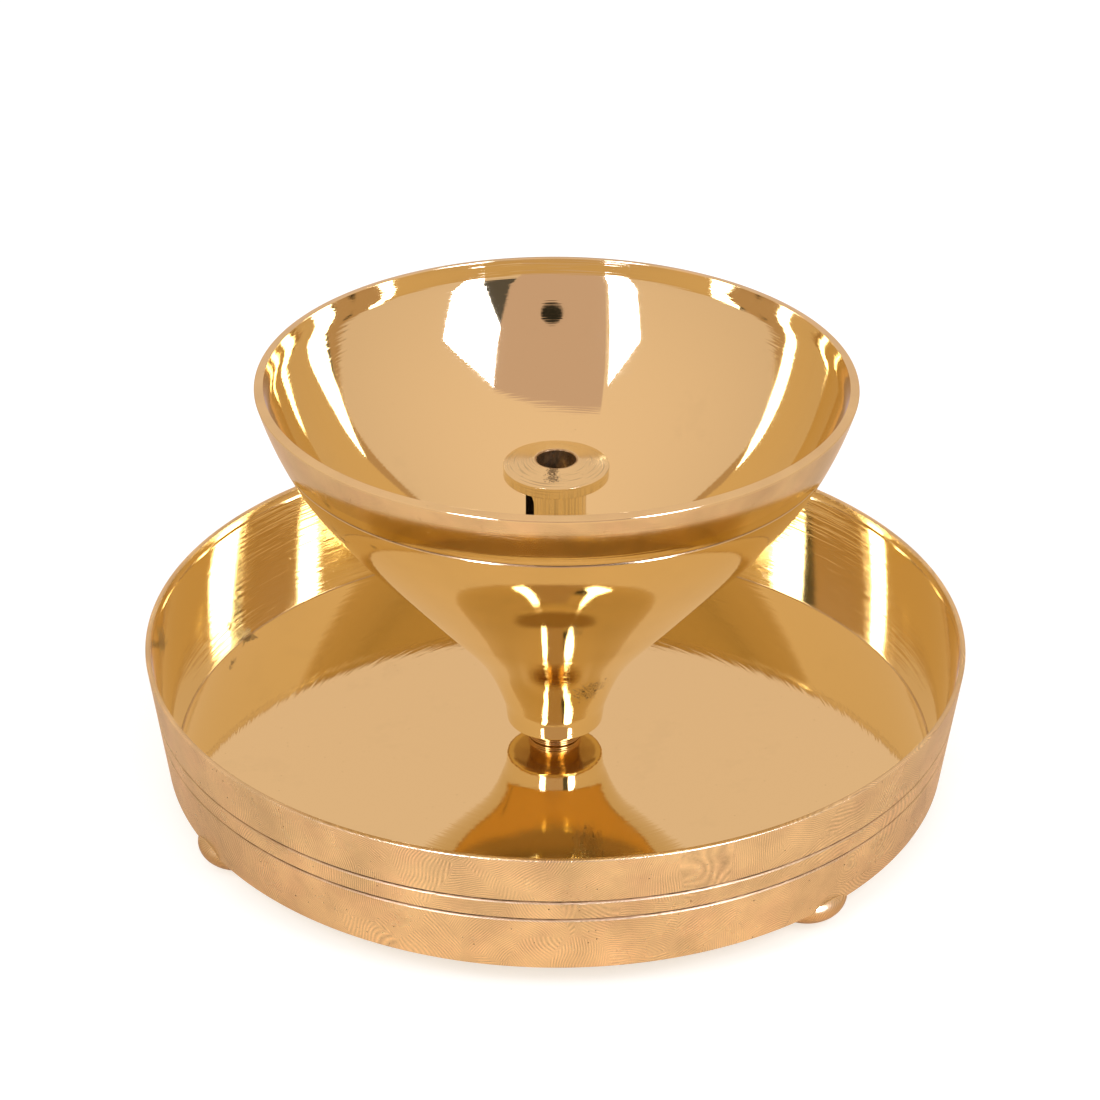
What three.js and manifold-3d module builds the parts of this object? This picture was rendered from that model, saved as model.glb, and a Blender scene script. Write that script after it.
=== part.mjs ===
// A turned brass oil lamp (diya): a flared bowl on a trumpet stem, screwed down to a round
// tray on four domed feet, with a flanged wick tube screwed into the bottom of the bowl.
// Millimetres, +Z up. The origin is on the table, on the axis that bowl and tray share.
import * as THREE from "three";
import { mergeVertices } from "three/addons/utils/BufferGeometryUtils.js";
import Module from "manifold-3d";

const wasm = await Module();
wasm.setup();

// Tray: a shallow turned pan with a sloping wall
const trayRimRadius = 55;
const trayRimWidth = 0.7;
const trayDepth = 17.4; // rim above the pan's floor
const trayFloorThickness = 1.5;
const trayWallFlare = 2.1; // from the wall's lower edge out to the rim
const trayEdgeRise = 1.6; // lower edge above the underside
const trayBevelWidth = 2.6; // from the edge in to the flat underside
const trayFootWall = 1.4; // wall thickness at the floor
const trayCornerFillet = 1;
const trayGrooveDrops = { upper: 6.64, lower: 9.48 }; // below the rim
const trayGrooveWidth = 0.6;
const trayGrooveDepth = 0.35;
const trayLineDrop = 1.2; // turned line inside, below the rim
const trayLineDepth = 0.12;

// Feet: domes soldered under the tray's edge
const trayStand = 1.6; // tray's underside above the table
const footRadius = 5.3;
const footPadRadius = 1.8; // flat that touches the table
const footInset = 4.3; // from the tray's lower edge in to a foot's centre
const frontFeetMiddle = 261.5; // degrees from +X
const frontFeetSpread = 99; // degrees between the two front feet
const footSeam = 0.3; // clearance of a foot to the tray

// Bowl: rim, outside curve and stem, in one casting
const bowlHeight = 51.8; // rim above the stem's foot
const bowlRimRadius = 38.92;
const bowlLipWidth = 1.05;
const bowlLipFall = 0.3; // the lip slopes down outwards
const bowlWaistWall = 1.3;
const bowlGrooveDrop = 7.84; // below the rim
const bowlGrooveWidth = 0.7;
const bowlGrooveDepth = 0.35;
const rimSlope = 0.28; // outward per unit of height
const rimReach = 14.55; // how far the rim's slope carries on down
const waistRadius = 17.83;
const waistRise = 19.36; // above the stem's foot
const waistSlope = 0.855;
const waistReachUp = 16.15;
const waistReachDown = 11.3;
const stemFootRadius = 6.1;
const stemFootSlope = 0.289;
const stemFootReach = 10.66;
const stemFootHollow = 0.5; // the stem's end face is dished by this much
const bowlFloorRise = 14.5; // inside bottom above the stem's foot
const bowlFloorFillet = 4.5;

// Collar: ringed neck between stem and tray
const stemFootGap = 2.9; // stem's foot above the pan's floor
const collarRadius = 3.65;
const collarRings = 4;
const collarRingDepth = 0.25;
const collarRingFlat = 0.4; // share of a ring's height that is straight

// Clamp screw: from below, through tray and collar, into the stem
const clampScrewRadius = 2;
const clampScrewGrip = 6; // thread held by the stem
const clampHeadRadius = 4.5;
const clampHeadThickness = 1;
const clampSlotWidth = 1;
const clampSlotDepth = 0.45;
const clampHeadBevel = 0.3;

// Wick tube: flange, slotted tube and threaded spigot, with a washer under it
const wickFlangeRadius = 6.95;
const wickFlangeThickness = 1.5;
const wickFlangeCrown = 0.85; // the flange's top rises this much to the bore
const wickTubeRadius = 4;
const wickTubeLength = 22; // washer to the underside of the flange
const wickTubeFillet = 1.1;
const wickBoreRadius = 2.6;
const wickBoreBevel = 0.2;
const wickBoreFloor = 2; // solid bottom of the tube
const wickSlotWidth = 3.1;
const wickSlotAzimuth = 201; // degrees from +X
const wickSlotTopGap = 0.4; // below the flange's fillet
const wickSlotBottomGap = 1.2; // above the bore's bottom
const wickSpigotRadius = 2.7;
const wickSpigotLength = 4;
const wickWasherRadius = 5;
const wickWasherThickness = 0.6;

// Clearances
const seatGap = 0.1; // between faces that are clamped together
const threadGap = 0.3; // round a screw in its hole
const holeEndGap = 1; // past a screw's tip, in a blind hole
const screwTipBevel = 0.6;

// Fineness of the round surfaces
const roundSegments = 64;
const smallSegments = 32;
const curveSteps = 9;
const filletSteps = 3;
const domeSteps = 6;
const halvings = 40;
const mergeDistance = 1e-4;

// Radius of the tray's lower edge, and its rim above its underside
const trayEdgeRadius = trayRimRadius - trayWallFlare;
const trayTop = trayFloorThickness + trayDepth;

// Heights above the table that pieces share
const trayFloorHeight = trayStand + trayFloorThickness;
const trayRimHeight = trayStand + trayTop;
const stemFootHeight = trayFloorHeight + stemFootGap;
const stemSeatHeight = stemFootHeight + stemFootHollow;
const bowlFloorHeight = stemFootHeight + bowlFloorRise;
const wickTubeFoot = bowlFloorHeight + wickWasherThickness + 2 * seatGap;

const clampHoleRadius = clampScrewRadius + threadGap;
const wickHoleRadius = wickSpigotRadius + threadGap;

const brass = {
  polished: { color: 0xdba95c, roughness: 0.12, metalness: 1 },
  satin: { color: 0xd6a86c, roughness: 0.42, metalness: 1 },
  turned: { color: 0xcda35f, roughness: 0.3, metalness: 1 },
};

const point = (radius, height) => new THREE.Vector2(radius, height);
const radians = (degrees) => THREE.MathUtils.degToRad(degrees);

// Keeps positions only, joins equal corners and drops triangles of no width.
function closed(geometry) {
  const bare = geometry.index ? geometry.toNonIndexed() : geometry.clone();
  bare.deleteAttribute("normal");
  bare.deleteAttribute("uv");
  const merged = mergeVertices(bare, mergeDistance);
  const corners = merged.index.array;
  const kept = [];
  for (let i = 0; i < corners.length; i += 3) {
    const [a, b, c] = corners.subarray(i, i + 3);
    if (a !== b && b !== c && c !== a) kept.push(a, b, c);
  }
  merged.setIndex(kept);
  return merged;
}

// A profile of (radius, height) points, turned round +Z. It starts and ends on the axis,
// or is closed on itself.
function turned(profile, segments = roundSegments) {
  const last = profile[profile.length - 1];
  const onAxis = profile[0].x === 0 && last.x === 0;
  const points = onAxis ? [...profile] : [...profile, profile[0]];
  if (THREE.ShapeUtils.area(points) < 0) points.reverse();
  const geometry = new THREE.LatheGeometry(points, segments);
  geometry.rotateX(Math.PI / 2);
  return closed(geometry);
}

function solid(geometry) {
  const mesh = new wasm.Mesh({
    numProp: 3,
    vertProperties: new Float32Array(geometry.attributes.position.array),
    triVerts: new Uint32Array(geometry.index.array),
  });
  return new wasm.Manifold(mesh);
}

function cut(geometry, ...tools) {
  const rest = tools.reduce((body, tool) => body.subtract(solid(tool)), solid(geometry));
  const { vertProperties, triVerts } = rest.getMesh();
  const result = new THREE.BufferGeometry();
  result.setAttribute("position", new THREE.BufferAttribute(vertProperties, 3));
  result.setIndex(new THREE.BufferAttribute(triVerts, 1));
  return closed(result);
}

function piece(name, geometry, finish, height = 0) {
  geometry.computeVertexNormals();
  const mesh = new THREE.Mesh(geometry, new THREE.MeshStandardMaterial(finish));
  mesh.name = name;
  mesh.position.z = height;
  return mesh;
}

// Points of an arc about a centre, from one angle to another, in degrees.
function arc(centreRadius, centreHeight, size, from, to, steps = filletSteps) {
  const points = [];
  for (let i = 0; i <= steps; i++) {
    const angle = radians(from + ((to - from) * i) / steps);
    points.push(point(centreRadius + size * Math.cos(angle), centreHeight + size * Math.sin(angle)));
  }
  return points;
}

// Outside radius of the tray's wall at a height above its underside.
function trayWallRadius(height) {
  const share = (height - trayEdgeRise) / (trayTop - trayEdgeRise);
  return trayEdgeRadius + trayWallFlare * share;
}

// A V-shaped groove in the tray's wall, upwards.
function trayGroove(drop) {
  const height = trayTop - drop;
  const half = trayGrooveWidth / 2;
  return [
    point(trayWallRadius(height - half), height - half),
    point(trayWallRadius(height) - trayGrooveDepth, height),
    point(trayWallRadius(height + half), height + half),
  ];
}

function trayGeometry() {
  const floorRadius = trayWallRadius(trayFloorThickness) - trayFootWall;
  const innerRim = trayRimRadius - trayRimWidth;
  const wallLean = Math.atan2(innerRim - floorRadius, trayDepth);
  const innerRadius = (height) => innerRim - Math.tan(wallLean) * (trayTop - height);
  const lineHeight = trayTop - trayLineDrop;
  const filletEnd = trayFloorThickness + trayCornerFillet;
  return turned([
    point(clampHoleRadius, 0),
    point(trayEdgeRadius - trayBevelWidth, 0),
    point(trayEdgeRadius, trayEdgeRise),
    ...trayGroove(trayGrooveDrops.lower),
    ...trayGroove(trayGrooveDrops.upper),
    point(trayRimRadius, trayTop),
    point(innerRim, trayTop),
    point(innerRadius(lineHeight) + trayLineDepth, lineHeight),
    point(innerRadius(lineHeight - trayGrooveWidth), lineHeight - trayGrooveWidth),
    ...arc(innerRadius(filletEnd) - trayCornerFillet, filletEnd, trayCornerFillet, 0, -90),
    point(clampHoleRadius, trayFloorThickness),
  ]);
}

function trayFoot(azimuth) {
  const domeHeight = trayStand + trayEdgeRise;
  const dome = [point(0, 0)];
  for (let i = 0; i <= domeSteps; i++) {
    const angle = (Math.PI / 2) * (i / domeSteps);
    const radius = footPadRadius + (footRadius - footPadRadius) * Math.sin(angle);
    dome.push(point(radius, domeHeight * (1 - Math.cos(angle))));
  }
  dome.push(point(0, domeHeight));
  const geometry = turned(dome, smallSegments);
  const centre = trayEdgeRadius - footInset;
  const angle = radians(azimuth);
  geometry.translate(centre * Math.cos(angle), centre * Math.sin(angle), 0);
  // the tray's underside, grown by the seam, shapes the foot's top
  const overTray = turned([
    point(0, trayStand - footSeam),
    point(trayEdgeRadius - trayBevelWidth, trayStand - footSeam),
    point(trayEdgeRadius + footSeam, trayStand + trayEdgeRise - footSeam),
    point(trayEdgeRadius + footSeam, trayRimHeight),
    point(0, trayRimHeight),
  ]);
  return cut(geometry, overTray);
}

// The bowl's outside from rim to stem foot, as two curves that meet at the waist.
function bowlOutside() {
  const along = (slope, reach) => point(slope, 1).normalize().multiplyScalar(reach);
  const rim = point(bowlRimRadius, bowlHeight - bowlLipFall);
  const waist = point(waistRadius, waistRise);
  const foot = point(stemFootRadius, 0);
  const upper = new THREE.CubicBezierCurve(
    rim,
    rim.clone().sub(along(rimSlope, rimReach)),
    waist.clone().add(along(waistSlope, waistReachUp)),
    waist,
  );
  const lower = new THREE.CubicBezierCurve(
    waist,
    waist.clone().sub(along(waistSlope, waistReachDown)),
    foot.clone().add(along(stemFootSlope, stemFootReach)),
    foot,
  );
  return { upper, lower };
}

// Point of a curve at a height, found by halving.
function atHeight(curve, height) {
  let low = 0;
  let high = 1;
  for (let i = 0; i < halvings; i++) {
    const middle = (low + high) / 2;
    if (curve.getPoint(middle).y > height) low = middle;
    else high = middle;
  }
  return curve.getPoint(low);
}

function bowlGeometry() {
  const { upper, lower } = bowlOutside();
  const grooveHeight = bowlHeight - bowlGrooveDrop;
  const half = bowlGrooveWidth / 2;
  const grooveTop = atHeight(upper, grooveHeight + half);
  const grooveMiddle = atHeight(upper, grooveHeight);
  const grooveBottom = atHeight(upper, grooveHeight - half);
  grooveMiddle.x -= bowlGrooveDepth;
  const outerUpper = upper.getPoints(curveSteps);
  const outside = [
    ...outerUpper.filter((p) => p.y > grooveTop.y + half),
    grooveTop,
    grooveMiddle,
    grooveBottom,
    ...outerUpper.filter((p) => p.y < grooveBottom.y - half),
    ...lower.getPoints(curveSteps).slice(1),
  ];

  // the inside follows the outside, at a wall that thickens from the lip to the waist
  const innerLip = point(bowlRimRadius - bowlLipWidth, bowlHeight);
  const inward = (curve, t, wall) => {
    const tangent = curve.getTangent(t);
    return curve.getPoint(t).add(point(tangent.y, -tangent.x).multiplyScalar(wall));
  };
  const inside = [innerLip];
  for (let i = 1; i <= curveSteps; i++) {
    const t = i / curveSteps;
    inside.push(inward(upper, t, bowlLipWidth + (bowlWaistWall - bowlLipWidth) * t));
  }
  for (let i = 1; i <= curveSteps; i++) {
    inside.push(inward(lower, i / curveSteps, bowlWaistWall));
  }
  const filletStart = bowlFloorRise + bowlFloorFillet * (1 - waistSlope / Math.hypot(waistSlope, 1));
  const wallPoints = inside.filter((p) => p.y > filletStart);
  const filletTop = wallPoints[wallPoints.length - 1];
  const wallAngle = Math.atan(1 / waistSlope);
  const filletRun = bowlFloorFillet * Math.tan(wallAngle / 2);
  const toFloor = (filletTop.y - bowlFloorRise) * waistSlope;
  const filletCurve = new THREE.QuadraticBezierCurve(
    filletTop,
    point(filletTop.x - toFloor, bowlFloorRise),
    point(filletTop.x - toFloor - filletRun, bowlFloorRise),
  );
  const wickHoleFloor = bowlFloorRise - wickSpigotLength - holeEndGap;
  const clampHoleTop = stemFootHollow + clampScrewGrip + holeEndGap;
  return turned([
    point(0, clampHoleTop),
    point(clampHoleRadius, clampHoleTop),
    point(clampHoleRadius, stemFootHollow),
    point(collarRadius, stemFootHollow),
    ...outside.reverse(),
    ...wallPoints,
    ...filletCurve.getPoints(filletSteps).slice(1),
    point(wickHoleRadius, bowlFloorRise),
    point(wickHoleRadius, wickHoleFloor),
    point(0, wickHoleFloor),
  ]);
}

function collarGeometry() {
  const height = stemSeatHeight - trayFloorHeight - 2 * seatGap;
  const pitch = height / collarRings;
  const slope = (pitch * (1 - collarRingFlat)) / 2;
  const profile = [point(clampHoleRadius, 0)];
  for (let i = 0; i < collarRings; i++) {
    profile.push(point(collarRadius - collarRingDepth, i * pitch));
    profile.push(point(collarRadius, i * pitch + slope));
    profile.push(point(collarRadius, (i + 1) * pitch - slope));
  }
  profile.push(point(collarRadius - collarRingDepth, height));
  profile.push(point(clampHoleRadius, height));
  return turned(profile, smallSegments);
}

function clampScrewGeometry() {
  const headTop = trayStand - seatGap;
  const headBottom = headTop - clampHeadThickness;
  const tip = stemSeatHeight + clampScrewGrip;
  const screw = turned(
    [
      point(0, headBottom),
      point(clampHeadRadius - clampHeadBevel, headBottom),
      point(clampHeadRadius, headBottom + clampHeadBevel),
      point(clampHeadRadius, headTop),
      point(clampScrewRadius, headTop),
      point(clampScrewRadius, tip - screwTipBevel),
      point(clampScrewRadius - screwTipBevel, tip),
      point(0, tip),
    ],
    smallSegments,
  );
  const slot = new THREE.BoxGeometry(3 * clampHeadRadius, clampSlotWidth, 2 * clampSlotDepth);
  slot.translate(0, 0, headBottom);
  return cut(screw, closed(slot));
}

// The wick tube stands on height 0, with its spigot below.
function wickTubeGeometry() {
  const flangeTop = wickTubeLength + wickFlangeThickness;
  const crown = flangeTop + wickFlangeCrown;
  const tube = turned(
    [
      point(0, -wickSpigotLength),
      point(wickSpigotRadius - screwTipBevel, -wickSpigotLength),
      point(wickSpigotRadius, screwTipBevel - wickSpigotLength),
      point(wickSpigotRadius, 0),
      point(wickTubeRadius, 0),
      ...arc(wickTubeRadius + wickTubeFillet, wickTubeLength - wickTubeFillet, wickTubeFillet, 180, 90),
      point(wickFlangeRadius, wickTubeLength),
      point(wickFlangeRadius, flangeTop),
      point(wickBoreRadius + wickBoreBevel, crown),
      point(wickBoreRadius, crown - wickBoreBevel),
      point(wickBoreRadius, wickBoreFloor),
      point(0, wickBoreFloor),
    ],
    smallSegments,
  );
  const slotBottom = wickBoreFloor + wickSlotBottomGap;
  const slotTop = wickTubeLength - wickTubeFillet - wickSlotTopGap;
  const half = wickSlotWidth / 2;
  const outline = new THREE.Shape();
  outline.absarc(0, slotTop - half, half, 0, Math.PI);
  outline.absarc(0, slotBottom + half, half, Math.PI, 2 * Math.PI);
  outline.closePath();
  const slot = new THREE.ExtrudeGeometry(outline, {
    depth: 2 * wickTubeRadius,
    bevelEnabled: false,
    curveSegments: 6,
  });
  // stands the slot upright, pointing along +X, then turns it to its side
  slot.rotateX(Math.PI / 2);
  slot.rotateZ(Math.PI / 2);
  slot.rotateZ(radians(wickSlotAzimuth));
  return cut(tube, closed(slot));
}

function wickWasherGeometry() {
  return turned(
    [
      point(wickHoleRadius, 0),
      point(wickWasherRadius, 0),
      point(wickWasherRadius, wickWasherThickness),
      point(wickHoleRadius, wickWasherThickness),
    ],
    smallSegments,
  );
}

const footAzimuths = {
  foot_front_left: frontFeetMiddle - frontFeetSpread / 2,
  foot_front_right: frontFeetMiddle + frontFeetSpread / 2,
  foot_back_right: frontFeetMiddle - frontFeetSpread / 2 + 180,
  foot_back_left: frontFeetMiddle + frontFeetSpread / 2 + 180,
};

const diya = new THREE.Group();

const base = new THREE.Group();
base.add(piece("tray", trayGeometry(), brass.satin, trayStand));
for (const [name, azimuth] of Object.entries(footAzimuths)) {
  base.add(piece(name, trayFoot(azimuth), brass.turned));
}
base.add(piece("clamp_screw", clampScrewGeometry(), brass.turned));

const lamp = new THREE.Group();
lamp.add(piece("collar", collarGeometry(), brass.turned, trayFloorHeight + seatGap));
lamp.add(piece("bowl", bowlGeometry(), brass.polished, stemFootHeight));
lamp.add(piece("wick_washer", wickWasherGeometry(), brass.turned, bowlFloorHeight + seatGap));
lamp.add(piece("wick_tube", wickTubeGeometry(), brass.turned, wickTubeFoot));

diya.add(base, lamp);

export default diya;
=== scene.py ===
import math
from functools import partial

import bmesh
import bpy
from mathutils import Matrix, Vector


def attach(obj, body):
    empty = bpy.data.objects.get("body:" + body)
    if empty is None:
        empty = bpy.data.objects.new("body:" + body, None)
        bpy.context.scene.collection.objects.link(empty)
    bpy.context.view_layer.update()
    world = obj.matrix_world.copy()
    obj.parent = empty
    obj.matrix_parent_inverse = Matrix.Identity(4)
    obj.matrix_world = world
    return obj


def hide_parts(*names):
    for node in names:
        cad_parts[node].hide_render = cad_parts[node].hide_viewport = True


# Sizes in the dictionaries are millimetres, heights are above the table.
mm = 0.001
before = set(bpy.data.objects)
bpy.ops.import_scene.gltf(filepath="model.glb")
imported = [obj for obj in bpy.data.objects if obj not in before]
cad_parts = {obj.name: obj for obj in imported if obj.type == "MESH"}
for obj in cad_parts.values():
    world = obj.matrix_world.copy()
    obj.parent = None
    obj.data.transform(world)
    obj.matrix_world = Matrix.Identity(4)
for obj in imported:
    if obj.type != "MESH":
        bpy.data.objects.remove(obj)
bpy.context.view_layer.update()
scene = bpy.context.scene
scene.view_settings.view_transform = "Standard"
print("frame loaded, CAD nodes:", len(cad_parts))


def linked(name, data):
    made = bpy.data.objects.new(name, data)
    scene.collection.objects.link(made)
    return made


# Camera, fitted to the rims of tray and bowl
shot = dict(
    place=(-0.77, -334.5, 219.15),
    tiltDown=29.229,  # degrees below level
    roll=0.239,
    lens=94.26,
    sensorWidth=36,
    clipStart=10,
)


def makeCamera():
    data = bpy.data.cameras.new("camera")
    data.sensor_width = shot["sensorWidth"]
    data.lens = shot["lens"]
    data.clip_start = shot["clipStart"] * mm
    camera = linked("camera", data)
    turn = Matrix.Rotation(math.radians(90 - shot["tiltDown"]), 4, "X")
    roll = Matrix.Rotation(math.radians(shot["roll"]), 4, "Z")
    camera.matrix_world = Matrix.Translation(Vector(shot["place"]) * mm) @ turn @ roll
    scene.camera = camera


makeCamera()

# Small helpers for node trees


def isLink(value):
    return isinstance(value, bpy.types.NodeSocket)


def feed(socket, value):
    if isLink(value):
        socket.id_data.links.new(value, socket)
    else:
        socket.default_value = value


def addNode(tree, kind, inputs=(), **settings):
    # inputs: a link or a value for each socket, by its name or number
    node = tree.nodes.new(kind)
    for key, value in settings.items():
        setattr(node, key, value)
    for key, value in dict(inputs).items():
        feed(node.inputs[key], value)
    return node


def wired(kind, inputs, **settings):
    # outputs of a new node in the tree that its links come from
    tree = next(value.id_data for value in inputs.values() if isLink(value))
    return addNode(tree, kind, inputs, **settings).outputs


def calc(operation, *values, clamp=False):
    inputs = dict(enumerate(values))
    return wired("ShaderNodeMath", inputs, operation=operation, use_clamp=clamp)[0]


plus = partial(calc, "ADD")
minus = partial(calc, "SUBTRACT")
times = partial(calc, "MULTIPLY")
timesPlus = partial(calc, "MULTIPLY_ADD")
over = partial(calc, "DIVIDE")
highest = partial(calc, "MAXIMUM")


def vectorCalc(operation, *values):
    results = wired("ShaderNodeVectorMath", dict(enumerate(values)), operation=operation)
    return results["Value" if operation in ("LENGTH", "DISTANCE") else "Vector"]


def scaled(vector, factor):
    inputs = {"Vector": vector, "Scale": factor}
    return wired("ShaderNodeVectorMath", inputs, operation="SCALE")["Vector"]


def split(vector):
    return wired("ShaderNodeSeparateXYZ", {0: vector})


def joined(*values):
    return wired("ShaderNodeCombineXYZ", dict(enumerate(values)))[0]


def onCircle(radius, angle):
    return [times(radius, calc(axis, angle)) for axis in ("COSINE", "SINE")]


def remap(value, fromLow, fromHigh, toLow=0.0, toHigh=1.0, smooth=False):
    labels = ("Value", "From Min", "From Max", "To Min", "To Max")
    inputs = dict(zip(labels, (value, fromLow, fromHigh, toLow, toHigh)))
    kind = "SMOOTHSTEP" if smooth else "LINEAR"
    return wired("ShaderNodeMapRange", inputs, interpolation_type=kind)["Result"]


def mixColour(share, first, second, blend="MIX"):
    inputs = {0: share, 6: first, 7: second}
    return wired("ShaderNodeMix", inputs, data_type="RGBA", blend_type=blend)[2]


def mixValue(share, first, second):
    inputs = {0: share, 2: first, 3: second}
    return wired("ShaderNodeMix", inputs, data_type="FLOAT")[0]


def greyTone(level):
    return wired("ShaderNodeCombineColor", dict.fromkeys(range(3), level))[0]


def noise(vector, scale, detail=2.0, rough=0.5, kind="Fac"):
    inputs = {"Vector": vector, "Scale": scale, "Detail": detail, "Roughness": rough}
    return wired("ShaderNodeTexNoise", inputs)[kind]


def objectPlace(tree):
    return addNode(tree, "ShaderNodeTexCoord").outputs["Object"]


def newTree(kind, name, inputs, outputs):
    # each socket: the text is its type, any other value its default
    tree = bpy.data.node_groups.new(name, kind)
    types = {int: "Int", float: "Float", tuple: "Vector"}
    for way, sockets in (("INPUT", inputs), ("OUTPUT", outputs)):
        for label, value in sockets.items():
            typed = isinstance(value, str)
            socketType = "NodeSocket" + (value if typed else types[type(value)])
            socket = tree.interface.new_socket(label, in_out=way, socket_type=socketType)
            if not typed:
                socket.default_value = value
    return tree, addNode(tree, "NodeGroupInput").outputs, addNode(tree, "NodeGroupOutput").inputs


# Shader groups that the brass finishes share


def shaderGroup(build, inputs, *outputs):
    # build takes the group's sockets in their order, and gives what goes out
    inputs = {"Vector": "Vector", **inputs}
    sockets = inputs, dict.fromkeys(outputs, "Float")
    tree, given, result = newTree("ShaderNodeTree", build.__name__, *sockets)
    for label, value in zip(outputs, build(*[given[label] for label in inputs])):
        feed(result[label], value)
    return tree


ringShape = dict(axis=1e-5, noise=(1.0, 2.0, 0.55), fineNoise=(1.7, 1.0), line=(0.6, 0.7))


def turningRings(vector, spacing, wander):
    # fine rings round the lathe's axis, along radius and height
    x, y, z = split(vector)
    flat = joined(x, y)
    radius = vectorCalc("LENGTH", flat)
    across = split(scaled(flat, over(wander, highest(radius, ringShape["axis"]))))
    place = joined(over(plus(radius, z), spacing), across[0], across[1])
    fine = noise(place, *ringShape["fineNoise"])
    return noise(place, *ringShape["noise"]), remap(fine, *ringShape["line"])


swirlShape = dict(
    bendNoise=(150.0, 1.0),
    bendReach=0.0022,
    blur=0.06,  # between patches
    throw=7.0,  # of the arcs' centre, in patches
    patchyNoise=(420.0, 2.0, 0.6),
    patchy=(0.38, 0.62, 0.4, 1.0),
    raggedNoise=(2600.0, 1.0),
    ragged=(0.35, 0.65, 0.4, 1.3),
    toneNoise=(130.0, 3.0, 0.55),
)
middleGrey = (0.5, 0.5, 0.5)


def buffingSwirls(vector, patch, ridge):
    # short arcs that a buffing wheel leaves, in patches that each turn another way
    bend = noise(vector, *swirlShape["bendNoise"], kind="Color")
    bend = scaled(vectorCalc("SUBTRACT", bend, middleGrey), swirlShape["bendReach"])
    moved = vectorCalc("ADD", vector, bend)
    patches = scaled(moved, over(1.0, patch))
    inputs = {"Vector": patches, "Scale": 1.0, "Smoothness": swirlShape["blur"]}
    cells = wired("ShaderNodeTexVoronoi", inputs, feature="SMOOTH_F1")
    throw = scaled(vectorCalc("SUBTRACT", cells["Color"], middleGrey), swirlShape["throw"])
    centre = vectorCalc("ADD", cells["Position"], throw)
    reach = times(vectorCalc("DISTANCE", patches, centre), patch)
    ridges = calc("SINE", times(reach, over(math.tau, ridge)))
    patchy = remap(noise(vector, *swirlShape["patchyNoise"]), *swirlShape["patchy"])
    ragged = remap(noise(vector, *swirlShape["raggedNoise"]), *swirlShape["ragged"])
    return times(ridges, times(patchy, ragged)), noise(moved, *swirlShape["toneNoise"])


pitShape = dict(crowdNoise=(0.16, 1.0), crowd=(0.45, 0.62, 0.15, 1.6), floor=0.5)


def castPits(vector, spacing, size, share):
    place = scaled(vector, over(1.0, spacing))
    cells = wired("ShaderNodeTexVoronoi", {"Vector": place, "Scale": 1.0}, feature="F1")
    pick = wired("ShaderNodeSeparateColor", {0: cells["Color"]})
    crowd = remap(noise(place, *pitShape["crowdNoise"]), *pitShape["crowd"])
    chosen = calc("LESS_THAN", pick[0], times(share, crowd))
    size = times(size, pick[1])
    near = remap(cells["Distance"], times(size, pitShape["floor"]), size, 1.0, 0.0)
    return [times(near, chosen)]


smudgeShape = dict(noise=(4.0, 0.62), cover=(0.3, 0.7), edge=0.12, waveNoise=(1.0, 0.4))


def smudges(vector, size, cover):
    scale = over(1.0, size)
    cloud = noise(vector, scale, *smudgeShape["noise"])
    low = remap(minus(1.0, cover), 0.0, 1.0, *smudgeShape["cover"])
    mask = remap(cloud, low, plus(low, smudgeShape["edge"]), smooth=True)
    return mask, noise(vector, scale, *smudgeShape["waveNoise"])


blotShape = dict(
    noise=(3.0, 0.6),
    unevenness=2.0,
    edge=(1.0, 0.75),
    curlScale=0.8,
    curlBands=7.0,
    curlWidth=(0.1, 0.2),
)


def blot(vector, centre, reach, grain, ragged, curls):
    # one ragged mark round a given place
    share = over(vectorCalc("DISTANCE", vector, centre), reach)
    rough = noise(vector, over(1.0, grain), *blotShape["noise"])
    uneven = times(minus(rough, 0.5), ragged)
    share = timesPlus(uneven, blotShape["unevenness"], share)
    whole = remap(share, *blotShape["edge"], smooth=True)
    curly = noise(vector, over(blotShape["curlScale"], grain), 1.0)
    bands = calc("FRACT", times(curly, blotShape["curlBands"]))
    curl = remap(calc("ABSOLUTE", minus(bands, 0.5)), *blotShape["curlWidth"], 1.0, 0.0)
    return [times(whole, mixValue(curls, 1.0, curl))]


drawnShape = dict(noise=(1.0, 2.0, 0.6), line=(0.46, 0.68))


def drawnLines(vector, spacing, length):
    # upright lines that a drawing die leaves on a tube
    steps = zip(split(vector), (spacing, spacing, length))
    place = joined(*[over(part, step) for part, step in steps])
    return [remap(noise(place, *drawnShape["noise"]), *drawnShape["line"])]


blotInputs = {"Centre": (0.0, 0.0, 0.0), "Reach": 0.002, "Grain": 0.001}
blotInputs |= {"Ragged": 1.0, "Curls": 0.0}
groups = {
    "rings": shaderGroup(turningRings, {"Spacing": 0.0005, "Wander": 1.0}, "Height", "Line"),
    "drawn": shaderGroup(drawnLines, {"Spacing": 0.0003, "Length": 0.02}, "Line"),
    "swirls": shaderGroup(buffingSwirls, {"Patch": 0.008, "Ridge": 0.0003}, "Height", "Tone"),
    "pits": shaderGroup(castPits, {"Spacing": 0.003, "Size": 0.05, "Share": 0.3}, "Mask"),
    "smudges": shaderGroup(smudges, {"Size": 0.01, "Cover": 0.4}, "Mask", "Height"),
    "blot": shaderGroup(blot, blotInputs, "Mask"),
}
print("shader groups made:", len(groups))

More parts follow.
